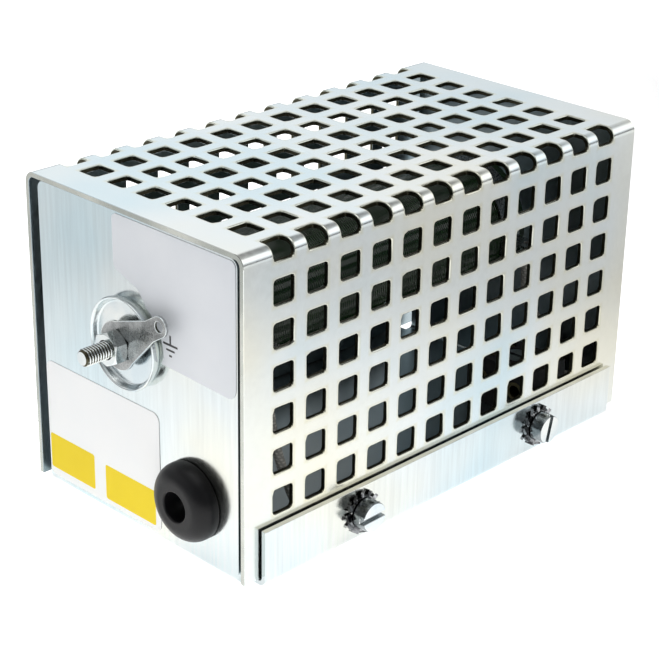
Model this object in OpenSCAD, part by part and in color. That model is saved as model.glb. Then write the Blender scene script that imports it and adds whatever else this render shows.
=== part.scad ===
// Enclosure heater: a tubular element under a perforated, folded sheet cover.
// X is the width, Y the length with the front end plate at -Y, Z is up.
// The origin is on the underside of the base, in the middle of its fixing holes.

/* [Case] */
// Outside width of the cover
cover_w = 70; // [66:0.5:80]
// Length of the cover
cover_l = 127; // [124:0.5:150]
// Height from the underside of the base to the top of the cover
body_h = 76; // [73:0.5:90]
// Thickness of the cover and base sheet
sheet_t = 1.2; // [0.8:0.1:1.5]
// Inside radius of the cover's folds
fold_r = 1.5; // [1.2:0.1:2]
// Inside radius of the base's folds
base_fold_r = 0.9; // [0.8:0.1:1.2]
// Gap between the cover and the sheet of the base
case_gap = 0.5; // [0.2:0.1:0.6]

/* [Perforation] */
// Side of a square hole
hole_w = 5.75; // [5.5:0.05:6.5]
// Radius of a hole's corners
hole_corner_r = 0.8; // [0.4:0.1:1.5]
// Distance between hole centres
hole_pitch = 9.525; // [9:0.025:12]
// Distance from a cover end to the first hole's centre
hole_end_margin = 11.1; // [8:0.1:14]
// Reach of a fold hole over the top, from the side face
fold_hole_reach = 4.55; // [4.2:0.05:5.3]
// Plain strip between the flange and the lowest holes
hole_flange_gap = 1.2; // [0.8:0.1:3]

/* [Base] */
// Height of the side flanges
flange_h = 13.5; // [13:0.5:16]
// Distance from a cover end back to the flange end
flange_setback = 4.4; // [4:0.1:8]
// Distance from a cover end back to the end plate
end_recess = 1; // [0.5:0.1:1.5]
// Gap between an end plate's side edge and the cover wall
end_side_gap = 1.7; // [0.5:0.1:2]
// Radius of an end plate's top corners
end_corner_r = 2; // [1.5:0.1:4]
// Diameter of the base fixing holes
fixing_d = 4.5; // [4:0.1:5.5]
// Distance between fixing holes across the width
fixing_span_x = 44; // [40:0.5:46]
// Distance between fixing holes along the length
fixing_span_y = 60; // [40:0.5:66]

/* [Cover fixings] */
// Diameter of the threads on the screws and the rod
thread_d = 4; // [3.5:0.1:4.2]
// Radial gap between a thread and its nut
thread_gap = 0.05; // [0.05:0.01:0.1]
// Radial gap between a screw or the rod and a clearance hole
clear_gap = 0.15; // [0.1:0.05:0.4]
// Distance between the screws of one flange
screw_span = 60.6; // [50:0.2:70]
// Height of the screws above the underside
screw_z = 7.5; // [7.3:0.1:8]
// Length of a cover screw under its head
screw_l = 8; // [7:0.5:9]
// Diameter of a screw head
head_d = 7.4; // [6:0.1:7.6]
// Height of a screw head
head_h = 3.1; // [2:0.1:3.2]
// Width of a screw slot
slot_w = 1.2; // [0.8:0.1:1.4]
// Depth of a screw slot
slot_depth = 1.3; // [0.8:0.1:1.6]
// Diameter of a lock washer over its teeth
lock_d = 10; // [9:0.1:10.4]
// Thickness of a lock washer
lock_t = 1.2; // [0.5:0.1:1.4]
// Teeth on a lock washer
lock_teeth = 10; // [8:1:14]
// Diameter of a press nut's body
press_d = 7.2; // [6.8:0.1:7.4]
// Height of a press nut's body
press_h = 3; // [2:0.1:3.2]
// Diameter of a press nut's spigot in the sheet
spigot_d = 5.4; // [5.2:0.1:6]

/* [Earth stud] */
// Distance of the rod's axis to the left of the middle
rod_offset = 1.8; // [0:0.1:3]
// Height of the rod's axis above the underside
rod_z = 45.7; // [44:0.1:50]
// Length of bare thread past the earth nut
stud_free = 6.3; // [4:0.1:12]
// Length of rod past the rear nut
rod_tail = 2; // [1:0.1:5]
// Width of a hex nut across its flats
nut_af = 7; // [6.5:0.1:8]
// Height of a hex nut
nut_h = 3.2; // [2.4:0.1:3.6]
// Diameter of a plain washer
washer_d = 9; // [8.5:0.1:10]
// Thickness of a plain washer
washer_t = 0.8; // [0.5:0.1:1.2]
// Diameter of a spring washer
spring_d = 7.4; // [7:0.1:8]
// Thickness of a spring washer
spring_t = 1; // [0.7:0.1:1.2]
// Rim diameter of the cup washer
cup_d = 21.2; // [21:0.1:24]
// Diameter of the cup washer's flat floor
cup_floor_d = 19.8; // [16:0.1:20.4]
// Depth of the cup washer
cup_h = 2.6; // [2:0.1:2.7]
// Thickness of the cup washer
cup_t = 1; // [0.6:0.1:1.2]
// Distance from the stud to the tag's eye
tag_l = 16.3; // [14:0.1:20]
// Diameter of the tag round the stud
tag_ring_d = 11.2; // [9:0.1:12]
// Width of the tag where its arm leaves the ring
tag_neck_w = 9.8; // [6:0.1:10.6]
// Width of the tag's tip
tag_tip_w = 4.8; // [4:0.1:6]
// Length of the tip's parallel sides, back from the eye
tag_tip_l = 3.6; // [0:0.1:6]
// Diameter of the tag's eye
tag_eye_d = 2.4; // [1.5:0.1:3]
// Thickness of the tag
tag_t = 0.7; // [0.5:0.1:1]
// Angle of the tag above level
tag_angle = 32.5; // [20:0.5:60]

/* [Grommet] */
// Distance of the grommet from the cover's side face
grommet_inset = 17.5; // [15:0.5:25]
// Height of the grommet above the underside
grommet_z = 15; // [13:0.5:20]
// Diameter of the grommet's outer flange
grommet_d = 18; // [17:0.1:20]
// Height of the grommet's outer flange
grommet_h = 5; // [4.5:0.1:7]
// Radius of the grommet's rounded shoulder
grommet_shoulder = 3.9; // [2:0.1:4.2]
// Diameter of the grommet's inner flange
grommet_back_d = 17; // [16:0.1:18]
// Thickness of the grommet's inner flange
grommet_back_h = 2; // [1.5:0.1:3]
// Diameter of the grommet's hole in the plate
grommet_hole_d = 12.7; // [12:0.1:14]
// Diameter of the cable passage
grommet_bore_d = 6.8; // [5:0.1:8]
// Gap between the grommet's groove and the plate
grommet_gap = 0.05; // [0.05:0.01:0.2]

/* [Element] */
// Outside diameter of the element
element_d = 33; // [28:0.5:34]
// Bore of the element
element_bore = 22; // [18:0.5:23]
// Length of the element
element_l = 100; // [90:0.5:101]
// Length of bare ceramic at each end
element_bare = 3; // [1:0.1:3.5]
// Depth of the enamel over the bare ceramic
enamel_t = 0.6; // [0.3:0.1:0.8]
// Thickness of a mica washer
mica_t = 0.8; // [0.4:0.1:1.2]
// Diameter of the mica and centring washers
centring_d = 28; // [25:0.5:28]
// Flange thickness of a centring washer
centring_t = 1; // [0.8:0.1:1.5]
// Depth of a centring washer's boss
boss_h = 4; // [2:0.1:8]
// Gap between pieces that slip over each other
slip_gap = 0.1; // [0.05:0.01:0.2]
// Width of a terminal band
band_w = 6; // [4:0.1:7]
// Thickness of a terminal band
band_t = 0.6; // [0.4:0.1:0.8]
// Distance from a tube end to the middle of its band
band_inset = 6.5; // [6.5:0.1:10]
// Length of a band's lug
lug_l = 8; // [7:0.1:9]
// Width of a band's lug
lug_w = 5; // [4:0.1:6]
// Distance from a lug's hole to its tip
lug_hole_inset = 3; // [2.5:0.1:4]
// Diameter of a lug's hole
lug_hole_d = 2.2; // [1.5:0.1:2.6]

/* [Terminal block] */
// Width of the block
block_w = 20; // [18:0.5:21]
// Length of the block
block_l = 14; // [12:0.5:15]
// Height of the block
block_h = 12.5; // [12:0.5:16]
// Distance from the block to the cover wall
block_side_gap = 7.3; // [6.8:0.1:9]
// Distance from the block to the rear end plate
block_rear_gap = 7.3; // [7:0.1:9]
// Distance between the two poles
pole_span = 11; // [10.8:0.1:12]
// Height of the poles above the floor
pole_z = 6.4; // [6.2:0.1:7]
// Outside diameter of a terminal tube
tube_d = 5; // [4.6:0.1:5.2]
// Bore of a terminal tube
tube_bore = 3.2; // [2.8:0.1:3.4]
// Distance between the clamp screws of one pole
clamp_span = 7; // [6:0.1:8]
// Shank diameter of a clamp screw
clamp_d = 2.5; // [2:0.1:2.6]
// Head diameter of a clamp screw
clamp_head_d = 3.8; // [3:0.1:4]
// Head height of a clamp screw
clamp_head_h = 1.6; // [1.2:0.1:2]
// Depth from the block's top to the foot of a clamp screw's head
clamp_seat = 2.2; // [1.8:0.1:2.4]
// Depth from the block's top to the foot of the fixing screw's head
block_screw_seat = 3.2; // [2.8:0.1:3.4]
// Diameter of a sleeved lead
lead_d = 2.2; // [1.6:0.1:2.4]
// Length of a lead inside its terminal tube
lead_entry = 4; // [2:0.1:5]

/* [Hidden] */
$fn = 64;
// Overlap that lets a cut run past a face
cut = 1;

// Folded sheet
fold_out = fold_r + sheet_t;
neutral_line = 0.44;
fold_arc = PI / 2 * (fold_r + neutral_line * sheet_t);
cover_z = sheet_t + base_fold_r - case_gap;
cover_h = body_h - cover_z;
wall_in = cover_w / 2 - sheet_t;
flange_in = cover_w / 2 + case_gap;
flange_out = flange_in + sheet_t;
flange_l = cover_l - 2 * flange_setback;
end_out = cover_l / 2 - end_recess;
end_in = end_out - sheet_t;
end_w = 2 * (wall_in - end_side_gap);
end_h = body_h - sheet_t - case_gap;

// Hole pattern, spaced along the developed sheet
corner_steps = 2;
arc_steps = 24;
hole_span_y = cover_l - 2 * hole_end_margin;
columns = round(hole_span_y / hole_pitch) + 1;
column_pitch = hole_span_y / (columns - 1);
fold_hole_x = cover_w / 2 - fold_hole_reach;
fold_centre_x = fold_hole_x + hole_w / 2;
top_rows = round(2 * fold_centre_x / hole_pitch) - 1;
top_pitch = 2 * fold_centre_x / (top_rows + 1);
fold_hole_drop = fold_out + hole_w - (fold_hole_reach - fold_out) - fold_arc;
fold_hole_z = body_h - fold_hole_drop;
side_top_z = fold_hole_z + hole_w / 2 - hole_pitch;
side_low_z = flange_h + hole_flange_gap + hole_w / 2;
side_rows = floor((side_top_z - side_low_z) / hole_pitch) + 1;

// Threads and the rod's stack of fixings
rod_x = -rod_offset;
nut_turn = 26;
nut_bore = thread_d + 2 * thread_gap;
clear_d = thread_d + 2 * clear_gap;
front_cup = -end_out - cup_t;
front_washer = front_cup - washer_t;
front_spring = front_washer - spring_t;
front_tag = front_spring - tag_t;
rod_front = front_tag - nut_h - stud_free;
rear_washer = end_out + washer_t;
rear_spring = rear_washer + spring_t;
rod_rear = rear_spring + nut_h + rod_tail;
element_end = element_l / 2;
mica_end = element_end + mica_t;
centring_end = mica_end + centring_t;
screw_seat = flange_out + lock_t;

// Element terminals
band_y = element_end - band_inset;
band_in_r = element_d / 2 + slip_gap;
band_out_r = band_in_r + band_t;
lug_hole_x = rod_x + band_out_r + lug_l - lug_hole_inset;

// Terminal block
block_x = wall_in - block_side_gap - block_w / 2;
block_y = end_in - block_rear_gap - block_l / 2;
block_back = block_y + block_l / 2;
block_top = sheet_t + block_h;
pole_axis_z = sheet_t + pole_z;
clamp_tip_z = pole_axis_z + lead_d / 2 + slip_gap;
block_screw_foot = block_top - block_screw_seat;

// Leads
lead_sides = 10;
lead_steps = 6;
lead_floor_z = sheet_t + lead_d / 2 + slip_gap;
lead_lane_x = block_x + block_w / 2 + lead_d / 2 + 4 * slip_gap;
lead_turn = block_rear_gap / 2 - lead_d / 4;
lug_foot_z = rod_z - band_t / 2 - slip_gap;
front_route = [
    [lug_hole_x, -band_y, lug_foot_z],
    [lug_hole_x, -band_y, lug_foot_z - 8],
    [lug_hole_x + 3.2, -band_y, rod_z / 2],
    [lead_lane_x - 0.5, -band_y + 3, lead_floor_z + 6],
    [lead_lane_x, -band_y + 8, lead_floor_z + 1.6],
    [lead_lane_x, -band_y + 15, lead_floor_z + 0.2],
    [lead_lane_x, -band_y + 22, lead_floor_z],
    [lead_lane_x, 0, lead_floor_z],
    [lead_lane_x, block_y - block_l, lead_floor_z],
    [lead_lane_x, block_y, lead_floor_z + 1],
    [lead_lane_x, block_back, pole_axis_z - 1],
    [(lead_lane_x + block_x + pole_span / 2) / 2, block_back + lead_turn, pole_axis_z],
    [block_x + pole_span / 2, block_back, pole_axis_z],
    [block_x + pole_span / 2, block_back - lead_entry, pole_axis_z]
];
rear_route = [
    [lug_hole_x, band_y, lug_foot_z],
    [lug_hole_x, band_y, lug_foot_z - 6],
    [lug_hole_x - 3, band_y + 5, rod_z * 0.62],
    [block_x, block_back + lead_turn / 2, block_top + 6],
    [block_x - pole_span / 2 + 1, block_back + lead_turn, pole_axis_z + 5],
    [block_x - pole_span / 2, block_back + lead_turn / 2, pole_axis_z + 1],
    [block_x - pole_span / 2, block_back, pole_axis_z],
    [block_x - pole_span / 2, block_back - lead_entry, pole_axis_z]
];

// Place of the grommet across the front plate
grommet_x = cover_w / 2 - grommet_inset;

// Slot directions of the cover screws, front to rear, from upright
slot_angles = [91, -13];

// Corner points of a square with rounded corners, in order round its outline
function rounded_square(w, h, r) = [
    for (corner = [[1, 1, 0], [-1, 1, 90], [-1, -1, 180], [1, -1, 270]])
        for (i = [0:corner_steps])
            let (a = corner[2] + 90 * i / corner_steps)
                [corner[0] * (w / 2 - r) + r * cos(a), corner[1] * (h / 2 - r) + r * sin(a)]
];

// Points along an arc from angle a to angle b
function arc_points(centre, r, a, b) = [
    for (i = [0:arc_steps])
        let (angle = a + (b - a) * i / arc_steps)
            centre + r * [cos(angle), sin(angle)]
];

// Point at t from 0 to 1 on the smooth curve between b and c
function smooth_point(a, b, c, d, t) =
    0.5 * (2 * b + (c - a) * t + (2 * a - 5 * b + 4 * c - d) * t * t
        + (3 * b - a - 3 * c + d) * t * t * t);

// Smooth curve through all points of a route
function smooth_route(route) =
    let (last = len(route) - 1)
        concat(
            [for (i = [0:last - 1])
                for (k = [0:lead_steps - 1])
                    smooth_point(route[max(i - 1, 0)], route[i], route[i + 1],
                        route[min(i + 2, last)], k / lead_steps)],
            [route[last]]
        );

function unit(v) = v / norm(v);

function heading(path, i) = unit(path[min(i + 1, len(path) - 1)] - path[max(i - 1, 0)]);

// Round bar along a path, with its rings turned about a fixed direction
module swept_bar(path, d, ref) {
    rings = len(path);
    points = [
        for (i = [0:rings - 1])
            let (ahead = heading(path, i), across = unit(cross(ref, ahead)), up = cross(ahead, across))
                for (k = [0:lead_sides - 1])
                    path[i] + d / 2 * (across * cos(360 * k / lead_sides) + up * sin(360 * k / lead_sides))
    ];
    sides = [
        for (i = [0:rings - 2])
            for (k = [0:lead_sides - 1])
                let (a = i * lead_sides + k, b = i * lead_sides + (k + 1) % lead_sides)
                    [a, a + lead_sides, b + lead_sides, b]
    ];
    first = [for (k = [0:lead_sides - 1]) k];
    last = [for (k = [lead_sides - 1:-1:0]) (rings - 1) * lead_sides + k];
    polyhedron(points, concat(sides, [first, last]));
}

// Rectangle that stands on its foot, with two rounded lower corners
module rounded_foot(w, h, r) {
    translate([-w / 2, r])
        square([w, h - r]);
    translate([-w / 2 + r, 0])
        square([w - 2 * r, h]);
    for (side = [-1, 1])
        translate([side * (w / 2 - r), r])
            circle(r);
}

// Section of a sheet folded into a U, with r inside its folds
module folded_section(w, h, r) {
    difference() {
        rounded_foot(w, h, r + sheet_t);
        translate([0, sheet_t])
            rounded_foot(w - 2 * sheet_t, h, r);
    }
}

// Extrusion along Y of a section drawn in X and Z
module along_y(length) {
    rotate([90, 0, 0])
        linear_extrude(length, center = true)
            children();
}

// Extrusion along X of a section drawn in Y and Z
module along_x(length) {
    rotate([90, 0, 90])
        linear_extrude(length, center = true)
            children();
}

// Places a piece on the rod's axis, built from y towards the front
module on_rod_front(y) {
    translate([rod_x, y, rod_z])
        rotate([90, 0, 0])
            children();
}

// Places a piece on the rod's axis, built from y towards the rear
module on_rod_rear(y) {
    translate([rod_x, y, rod_z])
        rotate([-90, 0, 0])
            children();
}

// Places a piece on each cover screw's axis, built outwards from x
module on_cover_screws(x) {
    for (side = [0, 1])
        mirror([side, 0, 0])
            for (i = [0, 1])
                translate([x, (i - 0.5) * screw_span, screw_z])
                    rotate([0, 90, 0])
                        rotate(slot_angles[i])
                            children();
}

// Places a piece at each base fixing hole
module on_fixings() {
    for (sx = [-1, 1], sy = [-1, 1])
        translate([sx * fixing_span_x / 2, sy * fixing_span_y / 2, 0])
            children();
}

module washer(d, bore, t) {
    difference() {
        cylinder(d = d, h = t);
        translate([0, 0, -cut])
            cylinder(d = bore, h = t + 2 * cut);
    }
}

module hex_nut() {
    difference() {
        rotate(nut_turn)
            cylinder(d = nut_af / cos(30), h = nut_h, $fn = 6);
        translate([0, 0, -cut])
            cylinder(d = nut_bore, h = nut_h + 2 * cut);
    }
}

// Slotted cheese-head screw with the head's foot at 0 and the shank below
module slotted_screw(shank_d, length, d, h, slot) {
    difference() {
        union() {
            cylinder(d1 = d, d2 = d * 0.94, h = h);
            translate([0, 0, -length])
                cylinder(d = shank_d, h = length + h / 4);
        }
        translate([-d, -slot / 2, h - slot * slot_depth / slot_w])
            cube([2 * d, slot, h]);
    }
}

// Press nut with its body standing on 0 and its spigot in the sheet below
module press_nut() {
    difference() {
        union() {
            cylinder(d = press_d, h = press_h);
            translate([0, 0, -sheet_t])
                cylinder(d = spigot_d, h = sheet_t + press_h / 2);
        }
        translate([0, 0, -sheet_t - cut])
            cylinder(d = nut_bore, h = sheet_t + press_h + 2 * cut);
    }
}

// Holes that run through both side walls
module side_holes() {
    along_x(cover_w + 2 * cut)
        for (row = [0:side_rows - 1], column = [0:columns - 1])
            translate([column * column_pitch - hole_span_y / 2, side_top_z - row * hole_pitch])
                polygon(rounded_square(hole_w, hole_w, hole_corner_r));
}

// Holes through the top
module top_holes() {
    translate([0, 0, body_h - fold_out])
        linear_extrude(fold_out + cut)
            for (row = [0:top_rows - 1], column = [0:columns - 1])
                translate([
                    (row - (top_rows - 1) / 2) * top_pitch,
                    column * column_pitch - hole_span_y / 2
                ])
                    polygon(rounded_square(hole_w, hole_w, hole_corner_r));
}

// Holes that wrap round the right-hand fold: each is a plan cut met by a side cut
module fold_holes() {
    plan_l = fold_hole_reach + fold_out;
    side_l = fold_hole_drop + fold_out;
    for (column = [0:columns - 1])
        translate([0, column * column_pitch - hole_span_y / 2, 0])
            intersection() {
                translate([fold_hole_x + plan_l / 2, 0, fold_hole_z - fold_out])
                    linear_extrude(fold_hole_drop + 2 * fold_out)
                        polygon(rounded_square(plan_l, hole_w, hole_corner_r));
                translate([fold_hole_x + plan_l / 2, 0, fold_hole_z + side_l / 2])
                    along_x(plan_l + 2 * fold_out)
                        polygon(rounded_square(hole_w, side_l, hole_corner_r));
            }
}

module cover() {
    color("gainsboro")
        difference() {
            translate([0, 0, body_h])
                mirror([0, 0, 1])
                    along_y(cover_l)
                        folded_section(cover_w, cover_h, fold_r);
            side_holes();
            top_holes();
            for (side = [0, 1])
                mirror([side, 0, 0])
                    fold_holes();
            on_cover_screws(wall_in - cut)
                cylinder(d = spigot_d + 2 * slip_gap, h = sheet_t + 2 * cut);
        }
}

module base() {
    color("silver")
        difference() {
            union() {
                intersection() {
                    along_x(end_w)
                        folded_section(2 * end_out, end_h, base_fold_r);
                    translate([0, 0, end_h])
                        mirror([0, 0, 1])
                            along_y(2 * end_out + 2 * cut)
                                rounded_foot(end_w, end_h, end_corner_r);
                }
                along_y(flange_l)
                    folded_section(2 * flange_out, flange_h, base_fold_r);
            }
            on_rod_front(end_out + cut)
                cylinder(d = clear_d, h = 2 * end_out + 2 * cut);
            translate([grommet_x, -end_in + cut, grommet_z])
                rotate([90, 0, 0])
                    cylinder(d = grommet_hole_d, h = sheet_t + 2 * cut);
            on_cover_screws(flange_in - cut)
                cylinder(d = clear_d, h = sheet_t + 2 * cut);
            on_fixings()
                translate([0, 0, -cut])
                    cylinder(d = fixing_d, h = sheet_t + 2 * cut);
            translate([block_x, block_y, -cut])
                cylinder(d = spigot_d + 2 * slip_gap, h = sheet_t + 2 * cut);
        }
}

module cover_screws() {
    color("lightgray")
        on_cover_screws(screw_seat)
            slotted_screw(thread_d, screw_l, head_d, head_h, slot_w);
}

// Ring with slanted notches between its teeth
module lock_washer() {
    notch_w = PI * lock_d / lock_teeth / 2;
    difference() {
        washer(lock_d, clear_d, lock_t);
        for (i = [0:lock_teeth - 1])
            rotate(360 * i / lock_teeth)
                translate([(lock_d + head_d) / 4, -notch_w / 2, -cut])
                    rotate(20)
                        cube([lock_d, notch_w, lock_t + 2 * cut]);
    }
}

module lock_washers() {
    color("dimgray")
        on_cover_screws(flange_out)
            lock_washer();
}

module press_nuts() {
    color("darkgray") {
        on_cover_screws(wall_in)
            mirror([0, 0, 1])
                press_nut();
        translate([block_x, block_y, sheet_t])
            press_nut();
    }
}

module grommet() {
    neck_d = grommet_hole_d - 2 * grommet_gap;
    groove = sheet_t + 2 * grommet_gap;
    crown_r = grommet_d / 2 - grommet_shoulder;
    color("#202022")
        translate([grommet_x, -end_out - grommet_gap, grommet_z])
            rotate([90, 0, 0])
                difference() {
                    rotate_extrude() {
                        square([grommet_d / 2, grommet_h - grommet_shoulder]);
                        square([crown_r, grommet_h]);
                        translate([crown_r, grommet_h - grommet_shoulder])
                            intersection() {
                                circle(grommet_shoulder);
                                square(grommet_shoulder);
                            }
                        translate([0, -groove - grommet_back_h])
                            square([grommet_back_d / 2, grommet_back_h]);
                        translate([0, -groove - grommet_back_h / 2])
                            square([neck_d / 2, groove + grommet_back_h]);
                    }
                    translate([0, 0, -groove - grommet_back_h - cut])
                        cylinder(d = grommet_bore_d, h = groove + grommet_back_h + grommet_h + 2 * cut);
                }
}

module tie_rod() {
    color("lightgray")
        on_rod_front(rod_rear)
            cylinder(d = thread_d, h = rod_rear - rod_front);
}

// Nuts outside the end plates, inside them and against the element
module hex_nuts() {
    color("lightgray") {
        for (y = [front_tag, -centring_end, end_in])
            on_rod_front(y)
                hex_nut();
        for (y = [rear_spring, centring_end, -end_in])
            on_rod_rear(y)
                hex_nut();
    }
}

module plain_washers() {
    color("silver") {
        on_rod_front(front_cup)
            washer(washer_d, clear_d, washer_t);
        on_rod_rear(end_out)
            washer(washer_d, clear_d, washer_t);
    }
}

// Spring washer with its slanted split
module spring_washer() {
    difference() {
        washer(spring_d, clear_d, spring_t);
        translate([0, -spring_t / 2, -cut])
            rotate(15)
                cube([spring_d, spring_t / 2, spring_t + 2 * cut]);
    }
}

module spring_washers() {
    color("silver") {
        on_rod_front(front_washer)
            spring_washer();
        on_rod_rear(rear_washer)
            spring_washer();
    }
}

module cup_washer() {
    rim_r = cup_d / 2;
    floor_r = cup_floor_d / 2;
    color("whitesmoke")
        on_rod_front(-end_out)
            rotate_extrude()
                polygon([
                    [clear_d / 2, 0],
                    [floor_r, 0],
                    [rim_r, cup_h - cup_t],
                    [rim_r, cup_h],
                    [rim_r - cup_t / 2, cup_h],
                    [floor_r - cup_t / 2, cup_t],
                    [clear_d / 2, cup_t]
                ]);
}

// Solder tag: a ring round the stud, an arm that narrows and a round tip
module earth_tag() {
    ring_r = tag_ring_d / 2;
    tip_r = tag_tip_w / 2;
    neck = asin(tag_neck_w / tag_ring_d);
    color("darkgray")
        on_rod_front(front_spring)
            rotate(tag_angle)
                difference() {
                    linear_extrude(tag_t)
                        polygon(concat(
                            arc_points([0, 0], ring_r, neck, 360 - neck),
                            [[tag_l - tag_tip_l, -tip_r]],
                            arc_points([tag_l, 0], tip_r, -90, 90),
                            [[tag_l - tag_tip_l, tip_r]]
                        ));
                    translate([0, 0, -cut])
                        cylinder(d = clear_d, h = tag_t + 2 * cut);
                    translate([tag_l, 0, -cut])
                        cylinder(d = tag_eye_d, h = tag_t + 2 * cut);
                }
}

// Ceramic tube with an enamelled barrel between two bare ends
module element() {
    bare_d = element_d - 2 * enamel_t;
    color("darkgreen")
        on_rod_rear(-element_end)
            difference() {
                union() {
                    cylinder(d = bare_d, h = element_l);
                    translate([0, 0, element_bare])
                        cylinder(d = element_d, h = element_l - 2 * element_bare);
                }
                translate([0, 0, -cut])
                    cylinder(d = element_bore, h = element_l + 2 * cut);
            }
}

// Band round the element with a drilled lug that points to the right
module terminal_bands() {
    color("lightgray")
        for (side = [-1, 1])
            translate([rod_x, side * band_y, rod_z])
                difference() {
                    union() {
                        rotate([90, 0, 0])
                            cylinder(r = band_out_r, h = band_w, center = true);
                        translate([0, -lug_w / 2, -band_t / 2])
                            cube([band_out_r + lug_l, lug_w, band_t]);
                    }
                    rotate([90, 0, 0])
                        cylinder(r = band_in_r, h = band_w + 2 * cut, center = true);
                    translate([lug_hole_x - rod_x, 0, -band_t])
                        cylinder(d = lug_hole_d, h = 2 * band_t);
                }
}

module mica_washers() {
    color("tan") {
        on_rod_front(-element_end)
            washer(centring_d, element_bore, mica_t);
        on_rod_rear(element_end)
            washer(centring_d, element_bore, mica_t);
    }
}

// Flanged washer whose boss centres the element's bore on the rod
module centring_washer() {
    difference() {
        union() {
            cylinder(d = centring_d, h = centring_t);
            translate([0, 0, -boss_h])
                cylinder(d = element_bore - 2 * slip_gap, h = boss_h + centring_t / 2);
        }
        translate([0, 0, -boss_h - cut])
            cylinder(d = clear_d, h = boss_h + centring_t + 2 * cut);
    }
}

module centring_washers() {
    color("silver") {
        on_rod_front(-mica_end)
            centring_washer();
        on_rod_rear(mica_end)
            centring_washer();
    }
}

// Places a piece on each clamp screw's axis, at height z
module on_clamps(z) {
    for (pole = [-1, 1], end = [-1, 1])
        translate([block_x + pole * pole_span / 2, block_y + end * clamp_span / 2, z])
            children();
}

// Places a bar along Y through each pole
module on_poles(length, d) {
    for (pole = [-1, 1])
        translate([block_x + pole * pole_span / 2, block_y, pole_axis_z])
            rotate([90, 0, 0])
                cylinder(d = d, h = length, center = true);
}

module terminal_block() {
    color("#2a2628")
        difference() {
            translate([block_x - block_w / 2, block_y - block_l / 2, sheet_t])
                cube([block_w, block_l, block_h]);
            on_poles(block_l + 2 * cut, tube_d + 2 * slip_gap);
            on_clamps(pole_axis_z)
                cylinder(d = clamp_d + 4 * slip_gap, h = block_h);
            on_clamps(block_top - clamp_seat)
                cylinder(d = clamp_head_d + 4 * slip_gap, h = block_h);
            translate([block_x, block_y, 0]) {
                cylinder(d = clear_d, h = block_top + cut);
                cylinder(d = press_d + 2 * slip_gap, h = sheet_t + press_h + slip_gap);
                translate([0, 0, block_screw_foot])
                    cylinder(d = head_d + 4 * slip_gap, h = block_h);
            }
        }
}

module terminal_tubes() {
    color("goldenrod")
        difference() {
            on_poles(block_l, tube_d);
            on_poles(block_l + 2 * cut, tube_bore);
            on_clamps(pole_axis_z)
                cylinder(d = clamp_d + 2 * thread_gap, h = tube_d);
        }
}

module clamp_screws() {
    foot_z = block_top - clamp_seat;
    color("goldenrod")
        on_clamps(foot_z)
            slotted_screw(clamp_d, foot_z - clamp_tip_z, clamp_head_d, clamp_head_h, slot_w / 2);
}

module block_screw() {
    color("lightgray")
        translate([block_x, block_y, block_screw_foot])
            slotted_screw(thread_d, block_screw_foot - sheet_t, head_d, head_h, slot_w);
}

module front_lead() {
    color("ivory")
        swept_bar(smooth_route(front_route), lead_d, [0.35, 0.2, 0.9]);
}

module rear_lead() {
    color("ivory")
        swept_bar(smooth_route(rear_route), lead_d, [0.9, 0.2, 0.1]);
}

cover();
base();
cover_screws();
lock_washers();
press_nuts();
grommet();
tie_rod();
hex_nuts();
plain_washers();
spring_washers();
cup_washer();
earth_tag();
element();
terminal_bands();
mica_washers();
centring_washers();
terminal_block();
terminal_tubes();
clamp_screws();
block_screw();
front_lead();
rear_lead();
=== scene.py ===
"""Enclosure heater: zinc-plated perforated case, enamelled element, earth stud and grommet."""
import math

import bmesh
import bpy
from mathutils import Matrix, Vector


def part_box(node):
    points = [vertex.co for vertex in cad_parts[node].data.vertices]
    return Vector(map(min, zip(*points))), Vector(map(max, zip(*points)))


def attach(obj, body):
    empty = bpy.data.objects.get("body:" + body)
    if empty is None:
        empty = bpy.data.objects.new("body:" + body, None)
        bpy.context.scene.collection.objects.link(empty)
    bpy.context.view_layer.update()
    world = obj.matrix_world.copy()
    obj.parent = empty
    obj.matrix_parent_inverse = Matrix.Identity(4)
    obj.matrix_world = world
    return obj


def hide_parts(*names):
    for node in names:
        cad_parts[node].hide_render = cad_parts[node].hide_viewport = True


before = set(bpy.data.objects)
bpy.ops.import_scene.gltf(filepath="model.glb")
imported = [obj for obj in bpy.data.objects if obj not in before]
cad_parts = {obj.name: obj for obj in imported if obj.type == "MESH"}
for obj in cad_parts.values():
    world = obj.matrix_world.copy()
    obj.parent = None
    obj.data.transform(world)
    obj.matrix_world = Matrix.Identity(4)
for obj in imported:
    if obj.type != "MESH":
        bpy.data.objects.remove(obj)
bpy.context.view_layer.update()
MM = 0.001

# The front plate's outer face and the rod, which the details on the front follow
FRONT_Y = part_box("base")[0].y
ROD_LOW, ROD_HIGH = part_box("tie_rod")
ROD_X = (ROD_LOW.x + ROD_HIGH.x) / 2
ROD_Z = (ROD_LOW.z + ROD_HIGH.z) / 2
ROD_R = (ROD_HIGH.x - ROD_LOW.x) / 2


# Shader nodes

def new_material(name):
    """Empty node material with its shader, its output and object coordinates."""
    material = bpy.data.materials.new(name)
    material.use_nodes = True
    tree = material.node_tree
    tree.nodes.clear()
    out = tree.nodes.new("ShaderNodeOutputMaterial")
    shader = tree.nodes.new("ShaderNodeBsdfPrincipled")
    tree.links.new(shader.outputs["BSDF"], out.inputs["Surface"])
    coords = tree.nodes.new("ShaderNodeTexCoord").outputs["Object"]
    return material, tree, shader, coords


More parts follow.
